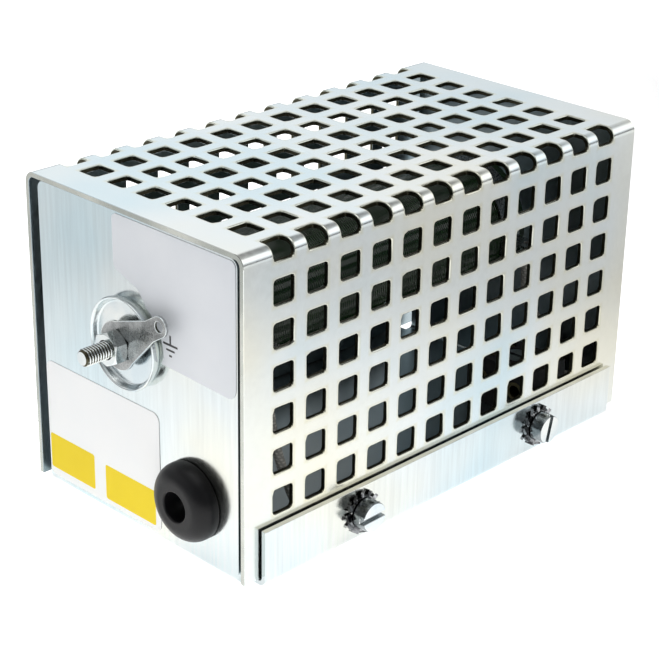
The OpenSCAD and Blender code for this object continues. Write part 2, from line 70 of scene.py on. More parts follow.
def noise(tree, coords, scale, stretch=(1, 1, 1), detail=3.0, roughness=0.55):
    """Noise value at a scale per metre, stretched along the axes."""
    mapping = tree.nodes.new("ShaderNodeMapping")
    mapping.inputs["Scale"].default_value = stretch
    tree.links.new(coords, mapping.inputs["Vector"])
    node = tree.nodes.new("ShaderNodeTexNoise")
    node.inputs["Scale"].default_value = scale
    node.inputs["Detail"].default_value = detail
    node.inputs["Roughness"].default_value = roughness
    tree.links.new(mapping.outputs["Vector"], node.inputs["Vector"])
    return node.outputs["Fac"]


def bands(tree, coords, direction, scale, distortion, detail=2.0):
    """Value that waves along a direction."""
    node = tree.nodes.new("ShaderNodeTexWave")
    node.bands_direction = direction
    node.inputs["Scale"].default_value = scale
    node.inputs["Distortion"].default_value = distortion
    node.inputs["Detail"].default_value = detail
    tree.links.new(coords, node.inputs["Vector"])
    return node.outputs["Fac"]


def ramp(tree, value, stops):
    """Colours at positions from 0 to 1 along a value."""
    node = tree.nodes.new("ShaderNodeValToRGB")
    elements = node.color_ramp.elements
    while len(elements) < len(stops):
        elements.new(0.5)
    for element, (position, colour) in zip(elements, stops):
        element.position = position
        element.color = (*colour, 1)
    tree.links.new(value, node.inputs["Fac"])
    return node.outputs["Color"]


def span(tree, value, low, high, from_low=0.3, from_high=0.7):
    """Value remapped to the range from low to high."""
    node = tree.nodes.new("ShaderNodeMapRange")
    node.inputs["From Min"].default_value = from_low
    node.inputs["From Max"].default_value = from_high
    node.inputs["To Min"].default_value = low
    node.inputs["To Max"].default_value = high
    tree.links.new(value, node.inputs["Value"])
    return node.outputs["Result"]


def blend(tree, factor, a, b, mode="MIX"):
    """Mix of two colours; factor and colours may be sockets or values."""
    node = tree.nodes.new("ShaderNodeMix")
    node.data_type = "RGBA"
    node.blend_type = mode
    for socket, given in ((node.inputs["Factor"], factor), (node.inputs[6], a), (node.inputs[7], b)):
        if isinstance(given, bpy.types.NodeSocket):
            tree.links.new(given, socket)
        else:
            socket.default_value = given if isinstance(given, (int, float)) else (*given, 1)
    return node.outputs[2]


def bump(tree, shader, height, strength, distance):
    """Bump from a height value; distance in metres."""
    node = tree.nodes.new("ShaderNodeBump")
    node.inputs["Strength"].default_value = strength
    node.inputs["Distance"].default_value = distance
    tree.links.new(height, node.inputs["Height"])
    tree.links.new(node.outputs["Normal"], shader.inputs["Normal"])


def number(tree, operation, *values):
    """Arithmetic on values; each may be a socket or a number."""
    node = tree.nodes.new("ShaderNodeMath")
    node.operation = operation
    for socket, given in zip(node.inputs, values):
        if isinstance(given, bpy.types.NodeSocket):
            tree.links.new(given, socket)
        else:
            socket.default_value = given
    return node.outputs["Value"]


def axes_of(tree, coords):
    """The three values of a vector."""
    node = tree.nodes.new("ShaderNodeSeparateXYZ")
    tree.links.new(coords, node.inputs["Vector"])
    return node.outputs["X"], node.outputs["Y"], node.outputs["Z"]


def grey(level):
    """Colour with three equal values."""
    return (level, level, level)


def two_tone(dark, pale, low=0.35, high=0.65):
    """Stops of a ramp from a dark colour to a pale one."""
    return [(low, dark), (high, pale)]


# Metals

# Grid of the cover's holes, which the painted reflection tint round them follows
HOLE_W = 5.75 * MM
COLUMN_PITCH = 9.527 * MM
ROW_PITCH = 9.525 * MM
TOP_PITCH = 9.521 * MM
TOP_ROW_Z = 65.94 * MM
HOLE_FIELD_Y = 56.5 * MM
FOLD_START_Z = 73.3 * MM
TINT_REACH = 0.9 * MM
TINT_MOST = 0.5


def off_row(tree, value, pitch):
    """Distance from the middle of the nearest hole, where the holes lie at odd half pitches."""
    return number(tree, "SUBTRACT", pitch / 2, number(tree, "PINGPONG", value, pitch / 2))


def hole_reflection_tint(tree, coords):
    """Share of the yellower tint, a painted reflection of the rolled-in hole rims, which rises towards the
    holes of the cover.
    """
    x, y, z = axes_of(tree, coords)
    from_column = off_row(tree, y, COLUMN_PITCH)
    from_top_row = off_row(tree, x, TOP_PITCH)
    from_side_row = number(tree, "PINGPONG", number(tree, "SUBTRACT", z, TOP_ROW_Z), ROW_PITCH / 2)
    on_top = number(tree, "GREATER_THAN", z, FOLD_START_Z)
    on_side = number(tree, "SUBTRACT", 1.0, on_top)
    from_row = number(tree, "ADD", number(tree, "MULTIPLY", on_top, from_top_row),
                      number(tree, "MULTIPLY", on_side, from_side_row))
    outside = number(tree, "MAXIMUM", from_column, from_row)
    in_field = number(tree, "LESS_THAN", number(tree, "ABSOLUTE", y), HOLE_FIELD_Y)
    share = span(tree, outside, TINT_MOST, 0.0, HOLE_W / 2, HOLE_W / 2 + TINT_REACH)
    return number(tree, "MULTIPLY", in_field, share)


GRAIN_DEPTH = 0.02 * MM


def zinc(name, stops, rough=(0.16, 0.24), grain=(1, 1, 1), grain_scale=900, grain_bump=0.03,
         grain_tone=0.95, blotch=16, metal=1.0, rim_reflection=None):
    """Plated or bare metal: a tinted film in soft blotches over a fine grain."""
    material, tree, shader, coords = new_material(name)
    shader.inputs["Metallic"].default_value = metal
    film = noise(tree, coords, blotch, roughness=0.5)
    streak = noise(tree, coords, grain_scale, grain, detail=2.0, roughness=0.5)
    colour = ramp(tree, film, stops)
    # Optional painted reflection: a yellower tint towards the cover's holes
    if rim_reflection:
        colour = blend(tree, hole_reflection_tint(tree, coords), colour, rim_reflection)
    tinted = blend(tree, 1.0, colour, span(tree, streak, grain_tone, 1.0), "MULTIPLY")
    tree.links.new(tinted, shader.inputs["Base Color"])
    tree.links.new(span(tree, streak, *rough), shader.inputs["Roughness"])
    bump(tree, shader, streak, grain_bump, GRAIN_DEPTH)
    return material


BLUE_FILM = (0.53, 0.64, 0.68)
PLAIN_FILM = (0.65, 0.69, 0.69)
STRAW_FILM = (0.70, 0.69, 0.60)
# Yellow-olive tint painted near the holes as the reflection in their rolled-in rims
RIM_REFLECTION = (0.58, 0.55, 0.38)
COVER_ZINC = zinc("cover_zinc", [(0.36, BLUE_FILM), (0.5, PLAIN_FILM), (0.66, STRAW_FILM)],
                  rim_reflection=RIM_REFLECTION)
BASE_ZINC = zinc("base_zinc", [(0.36, BLUE_FILM), (0.55, PLAIN_FILM), (0.7, STRAW_FILM)],
                 rough=(0.12, 0.2), grain=(1, 1, 0.05), grain_scale=1100, grain_bump=0.05, grain_tone=0.91)
# Darker copy of the zinc for the faces inside the case: painted shade
INNER_SHADE_ZINC = zinc("inner_shade_zinc", two_tone((0.30, 0.38, 0.42), (0.38, 0.43, 0.44)), rough=(0.28, 0.4))
# Near-black finish for the holes' walls, the tag's eye and the thread roots: bare cut steel darkened with
# painted shade
SHEARED_AND_SHADE = zinc("sheared_wall_and_shade", two_tone((0.035, 0.033, 0.02), (0.09, 0.085, 0.055)),
               rough=(0.3, 0.4), blotch=90)
CUT_EDGE = zinc("cut_edge", two_tone((0.38, 0.40, 0.37), (0.58, 0.59, 0.54)),
                rough=(0.2, 0.3), blotch=60)
LIT_EDGE = zinc("lit_edge", two_tone((0.82, 0.80, 0.66), (0.92, 0.91, 0.80)),
                rough=(0.3, 0.4), blotch=90, metal=0.35)
BRIGHT_ZINC = zinc("bright_zinc", two_tone((0.56, 0.63, 0.66), (0.74, 0.76, 0.74)),
                   rough=(0.14, 0.22), grain_scale=2500, blotch=120)
SHADED_ZINC = zinc("shaded_zinc", two_tone((0.15, 0.17, 0.18), (0.36, 0.39, 0.40)),
                   rough=(0.16, 0.26), grain_scale=2500, blotch=260)
DARK_STEEL = zinc("dark_steel", two_tone((0.04, 0.04, 0.045), (0.42, 0.43, 0.44), 0.40, 0.62),
                  rough=(0.08, 0.18), grain_scale=3000, blotch=480)
TINNED = zinc("tinned", two_tone((0.25, 0.26, 0.26), (0.42, 0.43, 0.43)),
              rough=(0.2, 0.34), grain_scale=2200, grain_bump=0.1, grain_tone=0.7, blotch=300)
BRASS = zinc("brass", two_tone((0.22, 0.17, 0.09), (0.34, 0.27, 0.14)),
             rough=(0.25, 0.4), grain_scale=2600, blotch=240)


# Rubber, mouldings, labels, enamel and sleeving

COAT_ROUGH = 0.08
PIT_BUMP = 0.4
SOFT_STOPS = (0.3, 0.7)


def coated(name, dark, pale, rough, blotch, pit_scale, pit_depth=0.01 * MM, coat=0.0, shine=0.5):
    """Plain coloured material with blotches and a fine surface texture."""
    material, tree, shader, coords = new_material(name)
    shader.inputs["Specular IOR Level"].default_value = shine
    shader.inputs["Coat Weight"].default_value = coat
    shader.inputs["Coat Roughness"].default_value = COAT_ROUGH
    film = noise(tree, coords, blotch, detail=4.0)
    pits = noise(tree, coords, pit_scale)
    tree.links.new(ramp(tree, film, two_tone(dark, pale, *SOFT_STOPS)), shader.inputs["Base Color"])
    tree.links.new(span(tree, pits, *rough), shader.inputs["Roughness"])
    bump(tree, shader, pits, PIT_BUMP, pit_depth)
    return material


RUBBER = coated("black_rubber", (0.004, 0.004, 0.005), (0.008, 0.008, 0.009), rough=(0.3, 0.42),
                blotch=120, pit_scale=2600, pit_depth=0.04 * MM, shine=0.22)
MICA = coated("mica", (0.42, 0.33, 0.22), (0.60, 0.50, 0.36), rough=(0.4, 0.6),
              blotch=200, pit_scale=900, pit_depth=0.05 * MM)
BLOCK = coated("block_moulding", (0.018, 0.014, 0.013), (0.035, 0.028, 0.026), rough=(0.35, 0.5),
               blotch=150, pit_scale=1800, pit_depth=0.04 * MM)
SILVER_LABEL = coated("silver_label", (0.70, 0.73, 0.77), (0.78, 0.80, 0.83), rough=(0.38, 0.5),
                      blotch=40, pit_scale=3000, coat=0.2)
WHITE_LABEL = coated("white_label", (0.90, 0.92, 0.93), (0.95, 0.95, 0.94), rough=(0.3, 0.4),
                     blotch=40, pit_scale=2500, coat=0.3)
YELLOW_PRINT = coated("yellow_print", (0.88, 0.66, 0.012), (0.94, 0.72, 0.02), rough=(0.4, 0.5),
                      blotch=60, pit_scale=2500, shine=0.15)
DARK_PRINT = coated("dark_print", (0.02, 0.02, 0.022), (0.04, 0.04, 0.042), rough=(0.35, 0.45),
                    blotch=200, pit_scale=2500)

ENAMEL_DARK = (0.006, 0.020, 0.006)
ENAMEL_PALE = (0.014, 0.038, 0.010)
ENAMEL_ROUGH = (0.05, 0.12)
POOL_SCALE = 90
TURN_SCALE = 480
TURN_BUMP = 0.6
TURN_DEPTH = 0.08 * MM


def enamel():
    """Dark green vitreous enamel that follows the turns of the winding under it."""
    material, tree, shader, coords = new_material("green_enamel")
    turns = bands(tree, coords, "Y", TURN_SCALE, distortion=0.4)
    pool = noise(tree, coords, POOL_SCALE, detail=4.0)
    colour = ramp(tree, pool, two_tone(ENAMEL_DARK, ENAMEL_PALE, *SOFT_STOPS))
    tree.links.new(colour, shader.inputs["Base Color"])
    tree.links.new(span(tree, pool, *ENAMEL_ROUGH), shader.inputs["Roughness"])
    bump(tree, shader, turns, TURN_BUMP, TURN_DEPTH)
    return material


WEAVE_GAP = (0.34, 0.33, 0.30)
WEAVE_STRAND = (0.66, 0.64, 0.58)
WEAVE_ROUGH = 0.6
WEAVE_SCALE = 420
WEAVE_BUMP = 0.5
WEAVE_DEPTH = 0.1 * MM


def sleeve():
    """Woven glass sleeving, made from two crossed sets of bands."""
    material, tree, shader, coords = new_material("lead_sleeve")
    slanted = bands(tree, coords, "DIAGONAL", WEAVE_SCALE, distortion=0.6)
    level = bands(tree, coords, "Z", WEAVE_SCALE, distortion=0.6)
    weave = number(tree, "MULTIPLY", slanted, level)
    colour = ramp(tree, weave, two_tone(WEAVE_GAP, WEAVE_STRAND, 0.0, 1.0))
    tree.links.new(colour, shader.inputs["Base Color"])
    shader.inputs["Roughness"].default_value = WEAVE_ROUGH
    bump(tree, shader, weave, WEAVE_BUMP, WEAVE_DEPTH)
    return material


ENAMEL = enamel()
SLEEVE = sleeve()


# Pieces

WELD_REACH = 0.002 * MM
SAME_POINT = 0.0001 * MM
FLAT_ANGLE = 0.5
SMOOTH_ANGLE = 40
RIM_SEGMENTS = 2


def add_piece(name, mesh_maker, materials, node=None):
    """New mesh piece that rides on the heater, with the given materials; it may stand for a node, which it
    hides.
    """
    mesh = bpy.data.meshes.new(name)
    bm = bmesh.new()
    mesh_maker(bm)
    bm.to_mesh(mesh)
    bm.free()
    piece = bpy.data.objects.new(name, mesh)
    bpy.context.scene.collection.objects.link(piece)
    for material in materials:
        mesh.materials.append(material)
    piece.modifiers.new("face_normals", "WEIGHTED_NORMAL").keep_sharp = True
    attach(piece, "root")
    if node:
        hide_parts(node)


def smooth_by_angle(bm, degrees):
    """Smooth faces, with edges over an angle kept sharp."""
    for face in bm.faces:
        face.smooth = True
    for edge in bm.edges:
        edge.smooth = edge.calc_face_angle(math.pi) < math.radians(degrees)


def welded(node):
    """Copy of a node's mesh with shared corners and whole flat faces."""
    bm = bmesh.new()
    bm.from_mesh(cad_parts[node].data)
    bmesh.ops.remove_doubles(bm, verts=bm.verts, dist=WELD_REACH)
    bmesh.ops.dissolve_limit(bm, angle_limit=math.radians(FLAT_ANGLE), verts=bm.verts, edges=bm.edges)
    return bm


def sharp_edges(bm, degrees):
    """Edges whose two faces meet at more than an angle."""
    return [edge for edge in bm.edges if edge.calc_face_angle(0) > math.radians(degrees)]


def break_edges(bm, edges, offset_mm, segments, slot=-1):
    """Rounds edges off; the new faces may take a material slot of their own."""
    bmesh.ops.bevel(bm, geom=edges, offset=offset_mm * MM, segments=segments, profile=0.5,
                    affect="EDGES", clamp_overlap=False, loop_slide=True, material=slot)


def dress(node, materials, edge_mm, segments=2, sharp=50, face_slot=None,
          rim=None, rim_mm=0, rim_slot=-1):
    """Copy of a CAD node with its sharp edges broken, which stands for the node."""
    def fill(bm):
        """Fills a mesh with the dressed copy."""
        source = welded(node)
        for face in source.faces:
            face.material_index = face_slot(face) if face_slot else 0
        if rim:
            rims = [edge for edge in sharp_edges(source, sharp) if rim(edge)]
            break_edges(source, rims, rim_mm, RIM_SEGMENTS, rim_slot)
        break_edges(source, sharp_edges(source, sharp), edge_mm, segments)
        smooth_by_angle(source, SMOOTH_ANGLE)
        mesh = bpy.data.meshes.new("dressing")
        source.to_mesh(mesh)
        source.free()
        bm.from_mesh(mesh)
        bpy.data.meshes.remove(mesh)

    add_piece(node + "_dressed", fill, materials, node)


def paint(node, material):
    """Gives a CAD node a finished material."""
    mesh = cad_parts[node].data
    mesh.materials.clear()
    mesh.materials.append(material)


def islands(node):
    """Corners of each separate solid of a node."""
    bm = welded(node)
    seen = set()
    groups = []
    for first in bm.verts:
        if first in seen:
            continue
        group = []
        queue = [first]
        seen.add(first)
        while queue:
            vert = queue.pop()
            group.append(vert.co.copy())
            for edge in vert.link_edges:
                other = edge.other_vert(vert)
                if other not in seen:
                    seen.add(other)
                    queue.append(other)
        groups.append(group)
    bm.free()
    return groups


def span_of(points, axis):
    """Lowest and highest value of points along an axis."""
    values = [p[axis] for p in points]
    return min(values), max(values)


def loft(bm, rings, cap=True):
    """Skin over rings of points, with flat caps on the first and last."""
    rows = [[bm.verts.new(p) for p in ring] for ring in rings]
    for a, b in zip(rows, rows[1:]):
        for i in range(len(a)):
            j = (i + 1) % len(a)
            bm.faces.new((a[i], a[j], b[j], b[i]))
    if cap:
        bm.faces.new(reversed(rows[0]))
        bm.faces.new(rows[-1])


def close_up(bm, smooth_degrees):
    """Joins the seams of lofted skins, turns their faces outwards and smooths them."""
    bmesh.ops.remove_doubles(bm, verts=bm.verts, dist=SAME_POINT)
    bmesh.ops.recalc_face_normals(bm, faces=bm.faces)
    smooth_by_angle(bm, smooth_degrees)


# Pieces that keep the shape of their CAD node

COVER_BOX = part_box("cover")
WALL_X = COVER_BOX[1].x
TOP_Z = COVER_BOX[1].z
END_Y = COVER_BOX[1].y
FOOT_Z = COVER_BOX[0].z
FOLD_OUT = 2.7 * MM
HAIR = 0.03 * MM

# Widths of the strips by which faces are told apart
END_STRIP = 1 * MM
SHEET_STRIP = 1.3 * MM
FLOOR_STRIP = 3 * MM
SIDE_STRIP = 3 * MM

# Shares of a normal along an axis by which faces are told apart
LEANS = 0.4
HALF_WAY = 0.5
SQUARE_ON = 0.9


def on_outer_skin(p):
    """True for a point on the outside of the folded cover."""
    over_x = abs(p.x) - (WALL_X - FOLD_OUT)
    over_z = p.z - (TOP_Z - FOLD_OUT)
    if over_x > 0 and over_z > 0:
        return abs(math.hypot(over_x, over_z) - FOLD_OUT) < HAIR
    return abs(p.x) > WALL_X - HAIR or p.z > TOP_Z - HAIR


def hole_rim(edge):
    """True for the outer edge of a hole, where the punch has drawn the sheet in."""
    middle = (edge.verts[0].co + edge.verts[1].co) / 2
    inside = abs(middle.y) < END_Y - END_STRIP and middle.z > FOOT_Z + END_STRIP
    return inside and on_outer_skin(middle)


def cover_face(face):
    """1 for the sheet's edges, 2 for the inside, in painted shade, 3 for the sheared walls of the holes,
    also in painted shade, 0 for the outside.
    """
    n = face.normal
    c = face.calc_center_median()
    if abs(n.y) > LEANS:
        return 1 if abs(c.y) > END_Y - END_STRIP else 3
    on_wall = abs(c.x) > WALL_X - SHEET_STRIP and c.z < TOP_Z - FOLD_OUT
    on_top = c.z > TOP_Z - SHEET_STRIP and abs(c.x) < WALL_X - FOLD_OUT
    if (on_wall and abs(n.z) > LEANS) or (on_top and abs(n.x) > LEANS):
        return 3
    return 2 if n.x * c.x + n.z * (c.z - TOP_Z / 2) < 0 else 0


def base_face(face):
    """1 for the faces of the base that look into the case, in painted shade, 2 for its upper edges, 0 for
    its outside.
    """
    n = face.normal
    c = face.calc_center_median()
    on_floor = n.z > SQUARE_ON and c.z < FLOOR_STRIP
    on_end = n.y * c.y < 0 and abs(n.y) > SQUARE_ON and abs(c.x) < WALL_X - SIDE_STRIP
    if on_floor or on_end:
        return 1
    return 2 if n.z > SQUARE_ON else 0


def screw_face(face):
    """1 for the round side of a screw's head and the walls of its slot, 0 for its flat faces."""
    return 1 if abs(face.normal.x) < HALF_WAY else 0


# Middle of the eye of the earth tag, in x and z, and its radius
TAG_EYE = Vector((11.95, 54.46)) * MM
TAG_EYE_R = 1.2 * MM


def tag_face(face):
    """2 for the sheared wall of the earth tag's eye, darkened with painted shade, 0 for the rest of the tag.
    """
    c = face.calc_center_median()
    in_eye = (Vector((c.x, c.z)) - TAG_EYE).length < TAG_EYE_R + 2 * HAIR
    return 2 if in_eye and abs(face.normal.y) < HALF_WAY else 0


dress("cover", [COVER_ZINC, CUT_EDGE, INNER_SHADE_ZINC, SHEARED_AND_SHADE], edge_mm=0.1, segments=1,
      face_slot=cover_face, rim=hole_rim, rim_mm=0.32, rim_slot=0)
dress("base", [BASE_ZINC, INNER_SHADE_ZINC, LIT_EDGE], edge_mm=0.15, face_slot=base_face)
dress("cover_screws", [BRIGHT_ZINC, SHADED_ZINC], edge_mm=0.22, segments=3,
      face_slot=screw_face)
dress("grommet", [RUBBER], edge_mm=0.4, segments=3)
dress("plain_washers", [BRIGHT_ZINC], edge_mm=0.12)
dress("spring_washers", [DARK_STEEL], edge_mm=0.12)
dress("cup_washer", [BRIGHT_ZINC], edge_mm=0.3, segments=3, sharp=20)
# The tag's broken edges take the brighter zinc as a painted highlight; the eye's wall takes painted shade
dress("earth_tag", [TINNED, BRIGHT_ZINC, SHEARED_AND_SHADE], edge_mm=0.1, face_slot=tag_face,
      rim=lambda edge: True, rim_mm=0.16, rim_slot=1)
paint("press_nuts", BRIGHT_ZINC)
paint("element", ENAMEL)
paint("terminal_bands", TINNED)
paint("mica_washers", MICA)
paint("centring_washers", BRIGHT_ZINC)
paint("terminal_block", BLOCK)
paint("terminal_tubes", BRASS)
paint("clamp_screws", BRASS)
paint("block_screw", BRIGHT_ZINC)
paint("front_lead", SLEEVE)
paint("rear_lead", SLEEVE)


# Threaded rod

THREAD_PITCH = 0.7 * MM
THREAD_DEPTH = 0.42 * MM
THREAD_STEPS = 8
THREAD_PAST_PLATE = 1 * MM
CREST_SLOPE = 1.35
CREST_CUT = 0.15
ROOT_SHARE = 0.45
TIP_CHAMFER = 0.5 * MM
THREAD_SMOOTH = 30
ROUND_STEPS = 32


def thread_ring(y, threaded):
    """Section of the rod at y; a threaded one follows the helix."""
    ring = []
    room = min(y - ROD_LOW.y, ROD_HIGH.y - y)
    limit = ROD_R - max(0, TIP_CHAMFER - room)
    for i in range(ROUND_STEPS):
        turn = i / ROUND_STEPS
        phase = (y / THREAD_PITCH + turn) % 1
        crest = min(1, max(0, CREST_SLOPE * (1 - abs(2 * phase - 1)) - CREST_CUT))
        r = ROD_R - THREAD_DEPTH * (1 - crest) if threaded else ROD_R - THREAD_DEPTH
        r = min(r, limit)
        angle = 2 * math.pi * turn
        ring.append((ROD_X + r * math.cos(angle), y, ROD_Z + r * math.sin(angle)))
    return ring


def threaded_rod(bm):
    """Rod with a cut thread at both ends, past the end plates, and a plain core between."""
    bare = abs(FRONT_Y) - THREAD_PAST_PLATE
    step = THREAD_PITCH / THREAD_STEPS
    front = [ROD_LOW.y + i * step for i in range(int((-bare - ROD_LOW.y) / step))]
    rear = [ROD_HIGH.y - i * step for i in range(int((ROD_HIGH.y - bare) / step))][::-1]
    rings = [thread_ring(y, True) for y in front]
    rings += [thread_ring(y, False) for y in (-bare, bare)]
    rings += [thread_ring(y, True) for y in rear]
    loft(bm, rings)
    bmesh.ops.recalc_face_normals(bm, faces=bm.faces)
    smooth_by_angle(bm, THREAD_SMOOTH)
    # Faces in the thread's roots take the near-black finish as painted shade
    for face in bm.faces:
        c = face.calc_center_median()
        in_root = math.hypot(c.x - ROD_X, c.z - ROD_Z) < ROD_R - THREAD_DEPTH * ROOT_SHARE
        face.material_index = 1 if in_root and len(face.verts) == 4 else 0


# Nuts

HEX_SIDE = math.radians(60)
NUT_STEPS = 72
NUT_CHAMFER = math.tan(math.radians(30))
NUT_FACE_SHARE = 0.97
NUT_BORE_SHARE = 1.12
NUT_SMOOTH = 25


def chamfered_nut(bm, points):
    """Hex nut with its corners turned off, in the place of a plain one."""
    low, high = span_of(points, 1)
    corner = max(points, key=lambda p: math.hypot(p.x - ROD_X, p.z - ROD_Z))
    corner_r = math.hypot(corner.x - ROD_X, corner.z - ROD_Z)
    first = math.atan2(corner.z - ROD_Z, corner.x - ROD_X)
    flat_r = corner_r * math.cos(HEX_SIDE / 2)
    face_r = flat_r * NUT_FACE_SHARE
    bore_r = ROD_R * NUT_BORE_SHARE
    rings = [[], [], [], [], [], []]
    for i in range(NUT_STEPS):
        angle = 2 * math.pi * i / NUT_STEPS
        side = angle % HEX_SIDE - HEX_SIDE / 2
        r = flat_r / math.cos(side)
        drop = (r - face_r) * NUT_CHAMFER
        profile = [(bore_r, low), (face_r, low), (r, low + drop),
                   (r, high - drop), (face_r, high), (bore_r, high)]
        for ring, (radius, y) in zip(rings, profile):
            a = angle + first
            ring.append((ROD_X + radius * math.cos(a), y, ROD_Z + radius * math.sin(a)))
    loft(bm, rings + [rings[0]], cap=False)


def nuts(bm):
    """All nuts of the rod."""
    for points in islands("hex_nuts"):
        chamfered_nut(bm, points)
    close_up(bm, NUT_SMOOTH)


# Lock washers

LOCK_TEETH = 12
LOCK_TWIST = math.radians(32)
LOCK_RING_SHARE = 0.78
LOCK_HALF_T_SHARE = 0.28
LOCK_SMOOTH = 35
TOOTH_W_SHARE = 0.8
TOOTH_ROOT = 0.3 * MM
TOOTH_BEND = 0.25 * MM
ALONG_SCREW = Vector((1, 0, 0))


def lock_tooth(bm, centre, angle, sections, half_w, half_t):
    """One tooth at an angle round a screw, lofted through sections given as radius and twist."""
    outwards = Vector((0, math.cos(angle), math.sin(angle)))
    across = Vector((0, -math.sin(angle), math.cos(angle)))
    rings = []
    for r, twist in sections:
        wide = across * math.cos(twist) + ALONG_SCREW * math.sin(twist)
        thick = ALONG_SCREW * math.cos(twist) - across * math.sin(twist)
        rings.append([centre + outwards * r + wide * (u * half_w) + thick * (v * half_t)
                      for u, v in ((-1, -1), (1, -1), (1, 1), (-1, 1))])
    loft(bm, rings)


def lock_ring(bm, points):
    """Flat ring with twisted outer teeth, on a cover screw's axis."""
    (x0, x1), (y0, y1), (z0, z1) = (span_of(points, axis) for axis in range(3))
    centre = Vector(((x0 + x1) / 2, (y0 + y1) / 2, (z0 + z1) / 2))
    outer_r = (y1 - y0) / 2
    bore_r = min(math.hypot(p.y - centre.y, p.z - centre.z) for p in points)
    ring_r = outer_r * LOCK_RING_SHARE
    half_t = (x1 - x0) * LOCK_HALF_T_SHARE
    half_w = math.pi * ring_r / LOCK_TEETH * TOOTH_W_SHARE

    def place(along, angle, r):
        """Point at a distance along the screw and round it."""
        return centre + Vector((along, r * math.cos(angle), r * math.sin(angle)))

    profile = ((-half_t, bore_r), (-half_t, ring_r), (half_t, ring_r), (half_t, bore_r), (-half_t, bore_r))
    angles = [2 * math.pi * i / ROUND_STEPS for i in range(ROUND_STEPS)]
    loft(bm, [[place(x, a, r) for a in angles] for x, r in profile], cap=False)
    sections = ((ring_r - TOOTH_ROOT, 0), (ring_r + TOOTH_BEND, LOCK_TWIST), (outer_r, LOCK_TWIST))
    for i in range(LOCK_TEETH):
        lock_tooth(bm, centre, 2 * math.pi * i / LOCK_TEETH, sections, half_w, half_t)


def lock_rings(bm):
    """All lock washers under the cover screws."""
    for points in islands("lock_washers"):
        lock_ring(bm, points)
    close_up(bm, LOCK_SMOOTH)


add_piece("tie_rod_thread", threaded_rod, [BRIGHT_ZINC, SHEARED_AND_SHADE], "tie_rod")
add_piece("hex_nuts_chamfered", nuts, [BRIGHT_ZINC], "hex_nuts")
add_piece("lock_washers_twisted", lock_rings, [DARK_STEEL], "lock_washers")


# Bare labels on the front plate, with outlines in millimetres

LABEL_T = 0.1 * MM
LABEL_LIFT = 0.02 * MM
PRINT_LIFT = LABEL_LIFT + LABEL_T
PRINT_T = 0.01 * MM
CORNER_STEPS = 6


def rounded(corners):
    """Outline through corners given as x, z and radius, with each corner rounded."""
    outline = []
    for i, (x, z, r) in enumerate(corners):
        here = Vector((x, z))
        before = (Vector(corners[i - 1][:2]) - here).normalized()
        after = (Vector(corners[(i + 1) % len(corners)][:2]) - here).normalized()
        if r == 0:
            outline.append(here)
            continue
        half = before.angle(after) / 2
        start = here + before * (r / math.tan(half))
        end = here + after * (r / math.tan(half))
        centre = here + (before + after).normalized() * (r / math.sin(half))
        for k in range(CORNER_STEPS + 1):
            spoke = (start - centre).lerp(end - centre, k / CORNER_STEPS).normalized()
            outline.append(centre + spoke * r)
    return outline


def flat_plate(outline, lift, thick):
    """Maker of a thin plate in front of the front plate, lifted by a distance in metres."""
    def fill(bm):
        """Fills a mesh with the plate."""
        back, front = ([bm.verts.new((p.x * MM, FRONT_Y - depth, p.y * MM)) for p in outline]
                       for depth in (lift, lift + thick))
        bm.faces.new(front)
        bm.faces.new(reversed(back))
        for i in range(len(outline)):
            j = (i + 1) % len(outline)
            bm.faces.new((front[i], front[j], back[j], back[i]))
        bmesh.ops.recalc_face_normals(bm, faces=bm.faces)
    return fill


def box_outline(left, low, right, high, r):
    """Outline of a box with rounded corners."""
    return rounded([(left, low, r), (right, low, r), (right, high, r), (left, high, r)])


def cup_arc(r, start, end, steps):
    """Points round the stud, in degrees, that keep a label clear of the cup washer."""
    turns = [math.radians(start + (end - start) * i / steps) for i in range(steps + 1)]
    return [(ROD_X / MM + r * math.cos(a), ROD_Z / MM + r * math.sin(a), 0) for a in turns]


RATING_CORNERS = [(8.6, 44.0, 0), (31.7, 43.2, 2.5), (31.7, 73.8, 1.5), (-6.6, 73.8, 1.5), (-6.5, 61.3, 2.0),
                  (1.6, 58.6, 3.0)]
CUP_CLEAR_R = 11.2
NOTICE_BOX = (-31.8, 2.4, 7.3, 31.4, 2.0)
NOTICE_FIELDS = (("left", (-31.4, 4.2, -15.5, 13.0, 0.6)), ("right", (-11.6, 3.6, 5.6, 12.2, 0.6)))
EARTH_BARS = ((11.35, 49.25, 11.85, 51.4), (9.3, 48.95, 13.9, 49.45), (10.25, 47.75, 12.95, 48.2),
              (11.15, 46.5, 12.05, 46.95))
BAR_CORNER = 0.1

rating_outline = rounded(RATING_CORNERS + cup_arc(CUP_CLEAR_R, start=58, end=0, steps=10))
add_piece("rating_label", flat_plate(rating_outline, LABEL_LIFT, LABEL_T), [SILVER_LABEL])
add_piece("notice_label", flat_plate(box_outline(*NOTICE_BOX), LABEL_LIFT, LABEL_T), [WHITE_LABEL])
for side, field in NOTICE_FIELDS:
    add_piece("notice_field_" + side, flat_plate(box_outline(*field), PRINT_LIFT, PRINT_T), [YELLOW_PRINT])
for order, bar in enumerate(EARTH_BARS):
    bar_outline = box_outline(*bar, BAR_CORNER)
    add_piece(f"earth_mark_{order}", flat_plate(bar_outline, PRINT_LIFT, PRINT_T), [DARK_PRINT])


# Light and floor, with lengths in metres

KEY_WAY = (-0.751, 0.501, 0.431)
RIM_WAY = (0.53, 0.66, 0.53)
CAMERA_WAY = (0.70, -0.71, 0)

# Gain far from a direction, gain at it, and the cosines between which the gain changes
KEY_GAIN = (1.0, 1.55, 0.86, 0.985)
RIM_GAIN = (1.0, 2.0, 0.85, 0.97)
CAMERA_GAIN = (1.0, 0.3, 0.45, 0.75)

